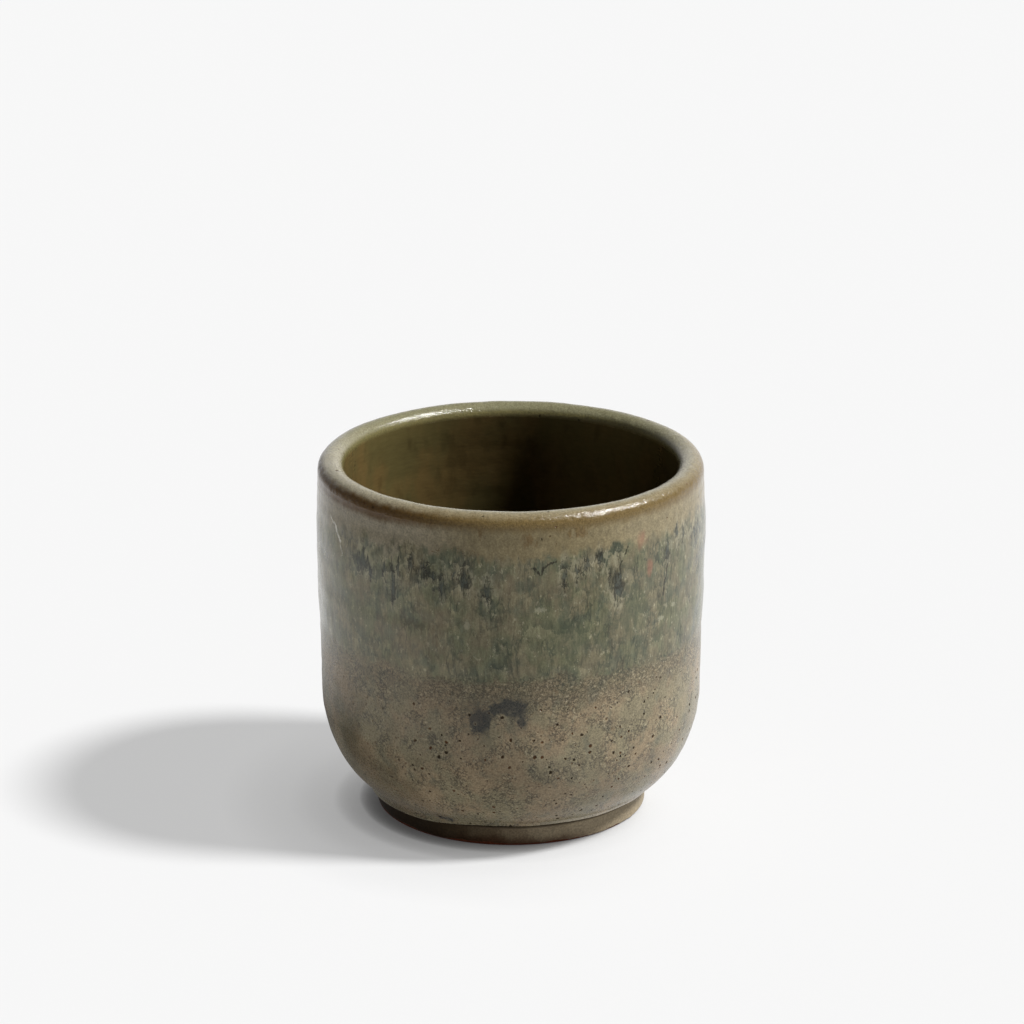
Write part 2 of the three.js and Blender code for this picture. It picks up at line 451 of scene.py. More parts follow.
# Glazes. Places on the wall are millimetres round from the front and millimetres above the table. Each
# placed spot also has its half width and half height, each drip its half width and its length up from its
# tip, and each line its two ends and its half width.
COLLAR_FROM = 65.0
COMB_HEIGHT = 61.0
FRONT_REACH = 47.0
DRIPS = [
    (-33.6, 59.7, 2.6, 4.5),
    (-31.2, 58.8, 0.5, 3.0),
    (-27.2, 59.6, 0.6, 4.0),
    (-25.2, 54.8, 0.6, 9.0),
    (-23.8, 59.0, 0.5, 6.0),
    (-20.8, 62.8, 0.8, 3.5),
    (-18.0, 62.0, 2.0, 2.6),
    (-15.7, 60.8, 0.4, 3.0),
    (-14.0, 58.4, 0.7, 5.5),
    (-11.4, 62.0, 0.5, 2.2),
    (-9.3, 60.0, 1.2, 5.0),
    (-4.6, 57.4, 1.1, 5.0),
    (10.8, 60.4, 0.8, 4.8),
    (13.4, 62.4, 1.0, 2.4),
    (15.6, 63.6, 1.1, 2.6),
    (18.4, 64.4, 1.2, 2.6),
    (20.5, 59.8, 0.4, 3.6),
    (22.5, 56.0, 1.5, 7.4),
    (36.1, 62.0, 1.2, 3.4),
    (39.7, 64.4, 0.6, 3.2),
    (42.2, 63.8, 0.7, 3.2),
    (49.0, 62.6, 3.0, 3.6),
]
STROKES = [
    ((4.4, 64.2), (6.0, 62.5), 0.26),
    ((6.0, 62.5), (6.6, 64.3), 0.22),
    ((6.6, 64.3), (8.8, 65.3), 0.26),
    ((22.8, 62.5), (25.2, 66.3), 0.26),
    ((34.8, 53.3), (36.0, 60.0), 0.2),
]
BLOTS = [
    (-6.1, 31.6, 2.6, 2.9),
    (-3.6, 33.9, 1.5, 1.0),
    (-0.3, 34.3, 3.7, 2.1),
    (2.2, 31.8, 1.1, 1.6),
    (-18.4, 5.9, 2.4, 0.9),
]
BLOT_TONGUES = [(-2.1, 29.8, 2.4, 3.5)]
PINK_PATCHES = [(28.5, 66.6, 1.6, 2.2), (30.8, 60.6, 1.0, 2.0)]
TAUPE_PATCHES = [
    (6.8, 60.5, 4.0, 4.0),
    (-33.8, 55.6, 3.0, 3.6),
    (-16.4, 53.2, 4.0, 3.0),
    (-1.5, 61.0, 3.0, 3.2),
    (-22.0, 47.5, 8.0, 4.5),
]
DEEP_PATCHES = [(13.5, 48.5, 5.5, 5.0), (25.0, 51.5, 3.5, 5.5), (10.5, 52.5, 2.2, 4.0)]
PALE_FLECKS = [
    (38.6, 50.5, 0.8, 0.6),
    (34.4, 48.8, 1.1, 0.5),
    (5.8, 55.3, 1.2, 0.6),
    (-8.8, 51.9, 0.6, 1.0),
]
IRON_RUNS = [(-6.1, 71.2, 0.4, 1.6), (3.8, 69.9, 1.4, 1.3), (14.0, 71.0, 2.2, 1.2)]
IRON_SPECKS = [(-11.3, 66.3, 6.2, 1.8)]
OLIVE_STAINS = [(-40.0, 21.0, 7.0, 13.0)]
BROWN_STAINS = [(-33.0, 12.0, 14.0, 12.0)]
# Ridges on the left: bumps along these lines, with a painted highlight along them.
RIDGES = [
    ((-46.4, 67.4), (-43.9, 66.2), 0.4),
    ((-43.9, 66.2), (-41.4, 63.2), 0.5),
    ((-41.4, 63.2), (-40.5, 60.4), 0.3),
]


def nearer(p, nearest, reach):
    return p.math("MINIMUM", nearest, reach) if nearest else reach


def spots(p, places, at=None):
    """Distance from the nearest of some placed ellipses, in units of its own size."""
    nearest = None
    for around, height, wide, tall in places:
        off = p.vector("SUBTRACT", at or p.unrolled, (around, height, 0))
        nearest = nearer(p, nearest, p.vector("LENGTH", p.vector("MULTIPLY", off, (1 / wide, 1 / tall, 0))))
    return nearest


def drips(p, places, around, height):
    """Distance from the nearest drip, 1 at its edge. A drip is pointed below and fades upwards."""
    nearest = None
    for middle, tip, wide, tall in places:
        across = p.times(p.math("ABSOLUTE", p.math("SUBTRACT", around, middle)), 1 / wide)
        over = p.math("SUBTRACT", height, tip)
        fade = p.times(p.math("SUBTRACT", over, 0.4 * tall), 1 / (0.6 * tall))
        up = p.most(p.span(over, 0, 0.4 * tall, 1, 0), fade, p.times(over, -1))
        nearest = nearer(p, nearest, p.plus(across, up))
    return nearest


def lines(p, places, at=None):
    """Distance from the nearest of some placed lines, in units of its half width."""
    nearest = None
    for start, end, wide in places:
        way = Vector((*end, 0)) - Vector((*start, 0))
        off = p.vector("SUBTRACT", at or p.unrolled, (*start, 0))
        share = p.span(p.vector("DOT_PRODUCT", off, way), 0, way.length_squared, 0, 1)
        beside = p.vector("SUBTRACT", off, p.vector("SCALE", way, scale=share))
        nearest = nearer(p, nearest, p.times(p.vector("LENGTH", beside), 1 / wide))
    return nearest


def pin_holes(p, size, radius, seed):
    """Small pits of uneven outline where cells of a solid noise reach the surface, the pale rim round each,
    and a value that is each pit's own."""
    bent = p.vector("SCALE", p.centred_colour(p.noise_node(0.5, 1, 1, seed)), scale=0.5)
    cell = p.add("ShaderNodeTexVoronoi", {"Vector": p.vector("ADD", p.place, bent), "Scale": 1 / size})
    lucky = p.add("ShaderNodeSeparateColor", {"Color": cell.outputs["Color"]}).outputs
    own = p.span(p.math("POWER", lucky[0], 2), 0, 1, radius * 0.6, radius * 1.7)
    ratio = p.math("DIVIDE", p.times(cell.outputs["Distance"], size), own)
    rim = p.times(p.step(ratio, 2.6, 1.3), p.step(ratio, 0.9, 1.25))
    return p.step(ratio, 1.15, 0.6), rim, lucky[1]


def thread(p, size, seed, wide, tall=1.0):
    """Winding threads along the middle level of a noise."""
    level = p.centred(p.noise(size, 3, tall, seed, rough=0.6))
    return p.step(p.math("ABSOLUTE", level), wide, wide * 0.4)


def buff_coat(p, grain):
    """Buff coat of the lower wall: smooth warm and grey clouds, speckled patches, soft green smears, and
    stains on the left. Just under the upper coat it is darker and speckled. It is painted lighter towards
    the bottom, and a painted highlight runs along the bowl's lower edge on the right."""
    warm = p.step(p.noise(8, 4, 1, 47, rough=0.55), 0.42, 0.6)
    buff = p.mix(warm, "#81785f", "#8d7c62")
    cloud = p.noise(8, 5, 1.2, 41, rough=0.6)
    buff = p.shade(buff, p.swing(cloud, 0.88, 1.14))
    # Painted light: lighter towards the bottom of the bowl.
    buff = p.shade(buff, p.span(p.z, 9, 20, 1.18, 1.0))
    shore = p.times(p.step(p.z, RUN_HEIGHT - 8.5, RUN_HEIGHT - 3), p.span(p.side, -28.7, -11.8, 0.35, 1.0))
    buff = p.mix(p.times(shore, 0.6), buff, "#6c644f")
    smear = p.step(p.noise(3.2, 4, 1.6, 43, rough=0.6), 0.53, 0.68)
    buff = p.mix(p.times(smear, 0.45), buff, "#565a4d")
    speckled = p.most(p.step(p.noise(4.5, 4, 1, 48, rough=0.6), 0.46, 0.58), p.times(shore, 0.9))
    dark = p.most(thread(p, 1.0, 45, 0.06), p.step(p.noise(0.5, 2, 1, 42, rough=0.6), 0.57, 0.65))
    buff = p.mix(p.times(dark, p.plus(p.times(speckled, 0.55), 0.16)), buff, "#39342a")
    flake = p.step(p.noise(0.6, 3, 1, 46, rough=0.7), 0.56, 0.66)
    buff = p.mix(p.times(flake, p.plus(p.times(speckled, 0.42), 0.2)), buff, "#ada286")
    rust = p.step(p.noise(2.4, 4, 1, 44, rough=0.6), 0.6, 0.72)
    buff = p.mix(p.times(rust, 0.3), buff, "#6b4e32")
    for places, strength, tint in ((OLIVE_STAINS, 0.65, "#4f482c"), (BROWN_STAINS, 0.6, "#55452a")):
        stain_and_shade = p.step(p.plus(spots(p, places), p.times(p.centred(cloud), 2.5)), 1.3, 0.1)
        buff = p.mix(p.times(stain_and_shade, strength), buff, tint)
    # Painted highlight: a pale line along the bowl's lower edge on the lit right side.
    crest = p.times(p.step(p.z, BOWL_EDGE_HEIGHT + 1.4, BOWL_EDGE_HEIGHT + 0.5), p.step(p.side, 2, 24))
    buff = p.mix(p.times(crest, 0.5), buff, "#cfc5b2")
    return p.shade(buff, p.swing(grain, 0.78, 1.22))


def green_coat(p, clump, grain, over, crown):
    """Grey-green coat of the upper wall: hair-fine streaks, blue-green patches, pale flecks and veins.
    Painted light and shade make it paler at the far left, lighter on the left and darker on the right.
    """
    green = p.mix(p.step(p.noise(5, 5, 1.5, 51, rough=0.6), 0.42, 0.58), "#65654d", "#726b54")
    teal = p.step(p.noise(4.5, 4, 1.4, 52, rough=0.6), 0.5, 0.64)
    green = p.mix(p.times(teal, 0.55), green, "#4d5446")
    some = p.step(p.noise(6, 3, 1, 55), 0.42, 0.58)
    green = p.mix(p.times(over, some, 0.3), green, "#3a4138")
    green = p.mix(p.times(crown, some, 0.25), green, "#8d876c")
    fleck = p.step(p.noise(1.1, 4, 1.5, 53, rough=0.7), 0.6, 0.65)
    green = p.mix(p.times(fleck, 0.65), green, "#979178")
    few = p.step(p.noise(5, 3, 1, 56), 0.44, 0.58)
    green = p.mix(p.times(thread(p, 1.8, 54, 0.05, 3.0), few, 0.5), green, "#343a31")
    green = p.shade(green, p.swing(p.noise(0.5, 4, 5, 3, rough=0.7), 0.77, 1.25))
    green = p.shade(green, p.swing(clump, 0.84, 1.18))
    # Painted light and shade: paler at the far left, then lighter on the left and darker on the right.
    green = p.mix(p.times(p.step(p.side, -25.8, -37.3), 0.15), green, "#8d8675")
    green = p.shade(green, p.span(p.side, -19.2, 22.6, 1.17, 0.89))
    return p.shade(green, p.swing(grain, 0.88, 1.12))


def tongues(p):
    """Where glaze tongues meet: 1 just over the round top of a tongue, streaked and fading upwards. Also
    how near the point is to the top of its own tongue from inside, and a thin outline over the top."""
    bent = p.vector("SCALE", p.centred_colour(p.noise_node(1.3, 3, 1.4, 23, rough=0.65)), scale=3.4)
    where = p.vector("MULTIPLY", p.vector("ADD", p.place, bent), (1 / 3.4, 1 / 3.4, 1 / 4.6))
    cell = p.add("ShaderNodeTexVoronoi", {"Vector": where, "Scale": 1.0})
    border = p.add("ShaderNodeTexVoronoi", {"Vector": where, "Scale": 1.0}, feature="DISTANCE_TO_EDGE")
    own = p.add("ShaderNodeSeparateXYZ", {"Vector": cell.outputs["Position"]}).outputs["Z"]
    here = p.add("ShaderNodeSeparateXYZ", {"Vector": where}).outputs["Z"]
    below = p.math("SUBTRACT", own, here)
    gap = border.outputs["Distance"]
    reach = p.span(p.noise(0.5, 3, 6, 22, rough=0.65), 0.3, 0.7, 0.12, 0.74)
    over = p.times(p.step(p.math("DIVIDE", gap, reach), 1.0, 0.35), p.step(below, -0.05, 0.3))
    crown = p.times(p.step(gap, 0.3, 0.02), p.step(below, 0.05, -0.25))
    outline = p.times(p.step(gap, 0.11, 0.04), p.step(below, -0.05, 0.2))
    return over, crown, outline


def fringe(p, wall, clump, over, crown, outline):
    """A coat with the dark pigment that ran down under the collar: pointed drips with darker edges and a
    pale rim below, and thin strokes. The drips are placed in front, and elsewhere they are a comb."""
    bent = p.centred_colour(p.noise_node(0.9, 3, 2.5, 23, rough=0.6))
    where = p.vector("ADD", p.unrolled, p.vector("SCALE", bent, scale=1.6))
    around, height, _ = p.add("ShaderNodeSeparateXYZ", {"Vector": where}).outputs
    spike = p.math("ABSOLUTE", p.centred(p.noise(0.8, 2, 12, 26)))
    height = p.plus(height, p.span(spike, 0, 0.12, 1.4, 0))
    wander = p.times(p.centred(p.round_noise(12, 2, 21)), 8)
    tooth = p.math("ABSOLUTE", p.centred(p.round_noise(3, 2, 22)))
    rise = p.plus(height, wander, p.span(tooth, 0, 0.16, 4, -1), -COMB_HEIGHT)
    front = p.step(p.math("ABSOLUTE", p.round), FRONT_REACH + 7, FRONT_REACH)
    gaps = p.times(p.step(p.round_noise(7, 2, 25), 0.44, 0.6), 1.1)
    elsewhere = p.plus(p.most(p.times(rise, 0.36), p.times(rise, -0.9)), gaps, p.times(front, 5))
    nearest = p.math("MINIMUM", drips(p, DRIPS, around, height), elsewhere)
    hair = p.times(p.centred(p.noise(0.4, 3, 9, 24, rough=0.6)), 1.8)

    zone = p.step(nearest, 3.4, 1.2)
    wall = p.mix(p.times(over, zone, 0.38), wall, "#41473f")
    wall = p.mix(p.times(crown, zone, 0.35), wall, "#9d977f")
    below = p.times(p.step(nearest, 2.4, 1.3), p.step(nearest, 1.0, 1.25))
    wall = p.mix(p.times(below, p.step(clump, 0.4, 0.6), 0.4), wall, "#9d977f")
    wash = p.step(p.plus(nearest, hair), 1.15, 0.45)
    wall = p.mix(p.times(wash, 0.66), wall, p.mix(clump, "#363c3a", "#484e48"))
    edge = p.times(p.step(nearest, 1.3, 1.05), p.step(nearest, 0.5, 0.85), p.step(hair, 0.15, -0.1))
    vein = p.times(p.most(thread(p, 1.1, 61, 0.05, 2.6), outline), p.step(nearest, 2.6, 0.9))
    stroke = p.step(lines(p, STROKES, where), 1.2, 0.5)
    vein = p.times(vein, p.step(p.noise(1.6, 3, 1, 62), 0.42, 0.56))
    dark = p.most(p.times(edge, 0.7), p.times(vein, 0.8), p.times(stroke, 0.85))
    return p.mix(dark, wall, "#2a271e")


def shaded_liner_colour(p):
    """Olive and brown clouds, with painted shade that darkens the liner towards the right."""
    olive = p.mix(p.step(p.noise(7, 4, 1.8, 2), 0.38, 0.62), "#574e2f", "#635231")
    olive = p.mix(p.times(p.step(p.noise(4, 4, 1.8, 3), 0.52, 0.7), 0.4), olive, "#332a16")
    # Painted shade: darker from the left towards the right, where the inside lies in the cup's own shadow.
    return p.mix(p.times(p.step(p.x, -30, -6), 0.5), olive, "#1d170b")


def lip_coat_colour(p, grain):
    """The coat over the lip: iron brown breaking at its outer edge, pale on top and olive inside. The iron
    brown is darker on the left, partly painted shade, and the inside takes the liner's painted shade.
    """
    out = p.math("SUBTRACT", p.radius, LIP_RADIUS - LIP_ROUND)
    around = p.math("ARCTAN2", p.math("SUBTRACT", p.z, SPRING), out)
    bend = p.plus(around, p.times(p.centred(p.noise(2.0, 4, 1, 31, rough=0.6)), 0.6))
    pale = p.mix(p.noise(3, 3, 1, 32), "#8a836d", "#9f9986")
    pale = p.mix(p.times(p.step(p.y, -8, 30), 0.9), pale, "#787559")
    # Iron brown, darker on the left: partly the glaze's own colour, partly painted shade on that side.
    iron = p.mix(p.step(p.x, -2, -28), "#6b5a39", "#523b1a")
    breaking = p.mix(p.times(p.step(bend, 1.65, 1.05), p.step(p.x, -34, -12)), pale, "#857a60")
    lip = p.mix(p.step(bend, 1.2, 0.4), breaking, iron)
    specks = p.step(p.noise(0.5, 2, 1, 33, rough=0.7), 0.6, 0.68)
    lip = p.mix(p.times(specks, 0.35), lip, "#4b3a20")
    inner = p.plus(around, p.times(p.centred(grain), 0.3))
    lip = p.mix(p.step(inner, 2.35, 2.8), lip, "#69623f")
    # The inside takes the liner's colour, with its painted shade.
    lip = p.mix(p.step(inner, 2.78, 3.2), lip, shaded_liner_colour(p))
    return p.shade(lip, p.swing(grain, 0.8, 1.2))


def collar_coat(p, grain):
    """Thin olive-buff coat under the lip, with iron specks and a few short brown runs. Painted light makes
    it paler towards the left and lighter towards the right.
    """
    collar = p.mix(p.noise(5, 4, 1, 10), "#706447", "#81765a")
    # Painted light: paler and greyer towards the left, lighter towards the right.
    across = p.plus(p.side, p.times(p.centred(grain), 6))
    collar = p.mix(p.times(p.step(across, -6, -21), 0.8), collar, "#8b8370")
    collar = p.mix(p.times(p.step(p.side, 8, 24), 0.6), collar, "#877c61")
    specks = p.times(p.step(spots(p, IRON_SPECKS), 1.2, 0.6), p.step(grain, 0.5, 0.58))
    collar = p.mix(p.times(specks, 0.75), collar, "#43321d")
    run = p.plus(spots(p, IRON_RUNS), p.times(p.centred(p.noise(0.6, 3, 3.5, 3, rough=0.65)), 4))
    collar = p.mix(p.times(p.step(run, 1.4, 0.3), 0.55), collar, "#5d4524")
    collar = p.shade(collar, p.swing(p.noise(1.2, 4, 1.6, 12, rough=0.65), 0.84, 1.16))
    return p.shade(collar, p.swing(grain, 0.8, 1.2))


def wall_coats(p, grain, clump):
    """The outside from foot to lip. Height and noise decide which coat shows."""
    ragged = p.plus(p.times(p.centred(p.noise(12, 2, 1, 6)), 6), p.times(p.centred(grain), 4))
    is_green = p.step(p.plus(p.z, ragged, p.times(p.centred(clump), 3)), RUN_HEIGHT - 1.2, RUN_HEIGHT + 0.8)
    over, crown, outline = tongues(p)
    wall = p.mix(is_green, buff_coat(p, grain), green_coat(p, clump, grain, over, crown))
    under = p.step(p.z, RUN_HEIGHT + 2, RUN_HEIGHT - 0.5)
    shore = p.times(p.step(p.z, RUN_HEIGHT - 5.5, RUN_HEIGHT - 1), under)
    some = p.step(p.noise(6, 3, 0.6, 8), 0.42, 0.58)
    dots = p.times(p.step(p.noise(0.6, 2, 1, 7, rough=0.7), 0.5, 0.58), some)
    wall = p.mix(p.times(shore, dots, 0.6), wall, "#363b31")

    collar_at = p.plus(p.z, p.times(p.centred(clump), 9), p.times(p.centred(p.noise(7, 2, 1, 9)), 6))
    wall = p.mix(p.step(collar_at, COLLAR_FROM, COLLAR_FROM + 2.5), wall, collar_coat(p, grain))
    patches = (
        (PINK_PATCHES, 0.34, "#a8705a"),
        (TAUPE_PATCHES, 0.3, "#7d6d58"),
        (DEEP_PATCHES, 0.4, "#47503f"),
    )
    for places, strength, tint in patches:
        patch = p.step(p.plus(spots(p, places), p.times(p.centred(clump), 2.4)), 1.2, 0.2)
        wall = p.mix(p.times(patch, strength), wall, tint)
    wall = fringe(p, wall, clump, over, crown, outline)
    fleck = p.step(p.plus(spots(p, PALE_FLECKS), p.times(p.centred(grain), 2.5)), 1.2, 0.6)
    wall = p.mix(p.times(fleck, 0.36), wall, "#aeaa92")

    lip_from = p.plus(p.z, p.times(p.centred(clump), 1.6), p.step(p.x, -10, -34))
    wall = p.mix(p.step(lip_from, SPRING - 1.5, SPRING + 0.4), wall, lip_coat_colour(p, grain))
    return blotted(p, wall, grain)


def blotted(p, wall, grain):
    """A coat with its dark ragged blots, each in a halo of dots."""
    bent = p.centred_colour(p.noise_node(1.5, 4, 1, 11, rough=0.65))
    ragged = p.vector("ADD", p.unrolled, p.vector("SCALE", bent, scale=3.6))
    tongue = p.step(spots(p, BLOT_TONGUES, p.vector("ADD", p.unrolled, bent)), 0.9, 1.05)
    off = spots(p, BLOTS, ragged)
    halo = p.times(p.step(off, 2.2, 1.0), tongue, p.step(grain, 0.47, 0.6))
    wall = p.mix(p.times(halo, 0.6), wall, "#30322c")
    blot = p.times(p.step(off, 1.15, 0.75), tongue)
    return p.mix(p.times(blot, p.swing(grain, 0.92, 0.58)), wall, "#292d2e")


def outer_glaze(name):
    """Coats of the outside, with pinholes, a ragged raised line on the left with a painted highlight along
    it, and an uneven lip.
    """
    p = Paint(name)
    grain = p.noise(0.4, 2, 1, 2, rough=0.7)
    clump = p.noise(1.7, 3, 2.2, 5, rough=0.6)
    wall = wall_coats(p, grain, clump)
    bent = p.vector("SCALE", p.centred_colour(p.noise_node(1.2, 3, 1, 63, rough=0.6)), scale=1.8)
    ridge_and_highlight = p.step(lines(p, RIDGES, p.vector("ADD", p.unrolled, bent)), 1.0, 0.2)
    ridge_and_highlight = p.times(ridge_and_highlight, p.step(clump, 0.3, 0.55))
    # Painted highlight: a near-white line along the ridge, which also raises the bumps.
    wall = p.mix(p.times(ridge_and_highlight, 0.85), wall, "#dcd7c7")

    pit, rim, own = pin_holes(p, 1.6, 0.26, 1)
    buff = p.times(p.step(p.z, RUN_HEIGHT, RUN_HEIGHT - 7), p.span(p.side, -32, -18, 0.3, 1.0))
    collar = p.times(p.step(p.z, COLLAR_FROM + 2, COLLAR_FROM + 5), p.step(p.noise(5, 2, 1, 13), 0.54, 0.6))
    pits = p.times(pit, p.plus(buff, collar))
    rims = p.times(rim, buff, own)
    wall = p.mix(p.times(rims, 0.25), wall, "#a99c80")
    wall = p.mix(p.times(pits, 0.88), wall, p.mix(p.step(own, 0.3, 0.9), "#1c130c", "#4e2f19"))

    gloss = p.span(p.z, RUN_HEIGHT - 6, RUN_HEIGHT + 2, 0.28, 0.16)
    roughness = p.plus(gloss, p.times(p.centred(grain), 0.16))
    is_lip = p.step(p.z, SPRING - 1, SPRING + 1)
    uneven = p.plus(grain, p.times(p.noise(1.3, 3, 1, 64, rough=0.6), 2.4))
    rough_lip = p.plus(p.times(grain, 0.5), p.times(uneven, is_lip, 1.4))
    height = p.plus(rough_lip, p.times(clump, 0.3), p.times(pits, -1.4), p.times(rims, 0.2), ridge_and_highlight)
    p.feed(p.shader.inputs["Specular IOR Level"], p.times(p.less(pits), 0.5))
    return p.finish(wall, roughness, height, 0.05)


def inner_glaze(name):
    """Glossy olive-brown liner with faint throwing rings."""
    p = Paint(name)
    rings = p.noise(2.2, 3, 0.25, 1)
    olive = p.shade(shaded_liner_colour(p), p.span(rings, 0.3, 0.7, 0.93, 1.07))
    roughness = p.span(p.noise(1.4, 2, 1, 4), 0.3, 0.7, 0.13, 0.24)
    return p.finish(olive, roughness, rings, 0.03)


def foot_coat(name):
    """Thin taupe coat on the foot, browner where it thins towards the table. Painted light makes it lighter
    on the right, and painted shade darkens the left and the top under the bowl's edge.
    """
    p = Paint(name)
    cloud = p.noise(5, 4, 1, 1)
    # Painted light and shade: dark taupe on the left, light taupe on the right.
    taupe = p.mix(p.step(p.plus(p.x, p.times(p.centred(cloud), 30)), -14, 18), "#5f4f3a", "#93866f")
    thin = p.times(p.step(p.plus(p.z, p.times(p.centred(cloud), 2.5)), 2.6, 0.6), p.step(p.x, 22, 6))
    brown = p.mix(p.times(thin, 0.85), taupe, "#442918")
    # Painted shade: near-black brown over the left side.
    brown = p.mix(p.times(p.step(p.x, 2, -20), 0.9), brown, "#241a0e")
    grain = p.noise(0.4, 2, 1, 2, rough=0.7)
    # Painted shade: a dark band along the top, in the groove under the bowl's edge.
    groove = p.step(p.plus(p.z, p.times(p.centred(grain), 0.5)), RING_TOP - 0.95, RING_TOP - 0.35)
    brown = p.mix(p.times(groove, 0.8), brown, "#1f170e")
    brown = p.shade(brown, p.swing(grain, 0.76, 1.24))
    p.shader.inputs["Specular IOR Level"].default_value = 0.1
    return p.finish(brown, p.span(grain, 0.3, 0.7, 0.4, 0.55), grain, 0.03)


def bare_clay(name, dark, pale, shaded_from):
    """Bare fired clay with fine grit and the lines of the turning tool, with painted shade that makes it
    dark above a height.
    """
    p = Paint(name)
    grit = p.noise(0.35, 3, 1, 1, rough=0.7)
    clay = p.mix(p.noise(5, 3, 1, 2), dark, pale)
    # Painted shade: near-black above a height; on the foot ring, the groove under the bowl.
    stain_and_shade = p.plus(p.z, p.times(p.centred(grit), 0.5))
    clay = p.mix(p.step(stain_and_shade, shaded_from, shaded_from + 0.5), clay, "#1d140c")
    clay = p.shade(clay, p.span(grit, 0.25, 0.75, 0.7, 1.25))
    turning = p.noise(0.8, 2, 1, 3, at=p.join(p.radius, 0, p.z))
    p.shader.inputs["Specular IOR Level"].default_value = 0.12
    return p.finish(clay, p.span(grit, 0.2, 0.8, 0.72, 0.92), p.plus(grit, p.times(turning, 0.8)), 0.06)


# Pieces.
outer_spring = along_at(SPRING)
inner_spring = along_at(SPRING, inside=True)
floor_end = skin_along[-1]


def coat(name, start, end, back, material, node):
    """A coat with its free side on the skin and its bonded side behind it."""
    bead_end = max(start, 2 * BEAD_ALONG)
    free = surface(np.concatenate([rows(start, bead_end, BEAD_STEP), rows(bead_end, end, ROW_STEP)[1:]]))
    bonded = surface(rows(end, start, HIDDEN_STEP), -back, smooth=True)
    piece = revolve(name, np.concatenate([free, bonded]), True, len(free) - 1)
    tidy(piece, material, node)


def make_liner(material):
    free = surface(rows(inner_spring, floor_end, ROW_STEP))
    bonded = surface(rows(floor_end, inner_spring, HIDDEN_STEP), -COAT_BACK, smooth=True)
    points = np.concatenate([bonded, free])
    piece = revolve("inner_liner", points, False, len(points))
    tidy(piece, material, "liner_glaze")


def run_edge():
    """Height of the upper coat's lower edge at each column."""
    return RUN_HEIGHT + RUN_WANDER * lumps(turn, 40.0) + RUN_RIPPLE * dimples(turn, 10.0)


def make_upper(material):
    low = np.array([along_at(h) for h in run_edge()])
    high = along_at(FEATHER_HEIGHT)
    share = rows(0, high - low.mean(), ROW_STEP) / (high - low.mean())
    share = np.concatenate([EDGE_SHARES, share[2:]])
    along = low + share[:, None] * (high - low)
    rise = np.clip((along - low) / UPPER_SWELL, 0, 1)
    feather = np.clip((high - along) / UPPER_FEATHER, 0, 1)
    thickness = UPPER_COAT * rise * (2 - rise) * feather
    free = surface(along, BOND_GAP + thickness)
    bonded = surface(along[::-5], BOND_GAP / 2)
    piece = revolve("upper_run_coat", np.concatenate([free, bonded]), True, len(free) - 1)
    tidy(piece, material, "upper_glaze")


def make_clay(material):
    base = resample(np.array([(0.0, UNDERSIDE), (FOOT_RADIUS - CLAY_INSET, UNDERSIDE)]), ROW_STEP_UNDER)
    radius, height = base.T
    dome = DOME_HEIGHT * np.exp(-((radius / DOME_RADIUS) ** 2))
    turned = height + TURNING_HEIGHT * np.sin(radius * TURNING_RATE) + dome
    under = rings_of(np.repeat(base[:, :1], COLUMNS, 1), np.repeat(turned[:, None], COLUMNS, 1))
    wall = surface(rows(0.3, floor_end, HIDDEN_STEP), -COAT_BACK - BOND_GAP, smooth=True)
    points = np.concatenate([under, wall])
    piece = revolve("clay_body", points, False, len(under))
    tidy(piece, material, "stoneware_body")


def ring_profile():
    inner = RING_RADIUS - RING_WIDTH
    edge, groove = RING_EDGE, RING_GROOVE
    parts = [
        ellipse((inner + edge, edge), (edge, edge), 180, 270, 9),
        ellipse((RING_RADIUS - edge, edge), (edge, edge), -90, 0, 9),
        ellipse((RING_RADIUS - groove, RING_TOP - groove), (groove, groove), 0, 90, 9),
        np.array([(inner - WELL_TAPER, RING_TOP), (inner, edge)]),
    ]
    return resample(np.concatenate(parts), ROW_STEP_RING)


def make_ring(material):
    line = ring_profile()
    radius = line[:, :1] + FOOT_LUMP_HEIGHT * lumps(turn, 3.0) * np.clip(line[:, 1:], 0, 1)
    points = rings_of(radius, np.repeat(line[:, 1:], COLUMNS, 1))
    piece = revolve("turned_foot", points, True, len(points))
    tidy(piece, material, "foot_ring")


def make_foot_coat(material):
    right = np.clip(-np.sin(turn), 0, 1)
    wander = FOOT_COAT_WANDER * lumps(turn, 70.0) + FOOT_COAT_RIPPLE * dimples(turn, 30.0)
    low = foot_low[2] - FOOT_COAT_LOWER + wander - FOOT_COAT_RIGHT * right
    high = foot_high[2] + FOOT_COAT_HIGHER
    share = np.concatenate([[0, 0.02, 0.06], np.linspace(0.12, 1, 12)])[:, None]
    height = low + share * (high - low)
    rise = np.clip(np.minimum(height - low, high - height) / FOOT_COAT_TAPER, 0, 1)
    off = BOND_GAP + (FOOT_RADIUS - RING_RADIUS - BOND_GAP) * np.sqrt(1 - (1 - rise) ** 2)
    into_groove = np.clip(height - RING_TOP + RING_GROOVE, 0, RING_GROOVE)
    round_off = RING_GROOVE - np.sqrt(np.clip(RING_GROOVE**2 - into_groove**2, 0, 1))
    base = RING_RADIUS - round_off + FOOT_LUMP_HEIGHT * lumps(turn, 3.0)
    free = rings_of(base + off, height)
    bonded = rings_of((base + BOND_GAP / 2)[::-1], height[::-1])
    piece = revolve("foot_coat", np.concatenate([free, bonded]), True, len(free) - 1)
    tidy(piece, material, "foot_glaze")


def same_paint(material, name):
    """The same nodes under another name, for a coat that goes on where the first one ends."""
    copy = material.copy()
    copy.name = name
    return copy


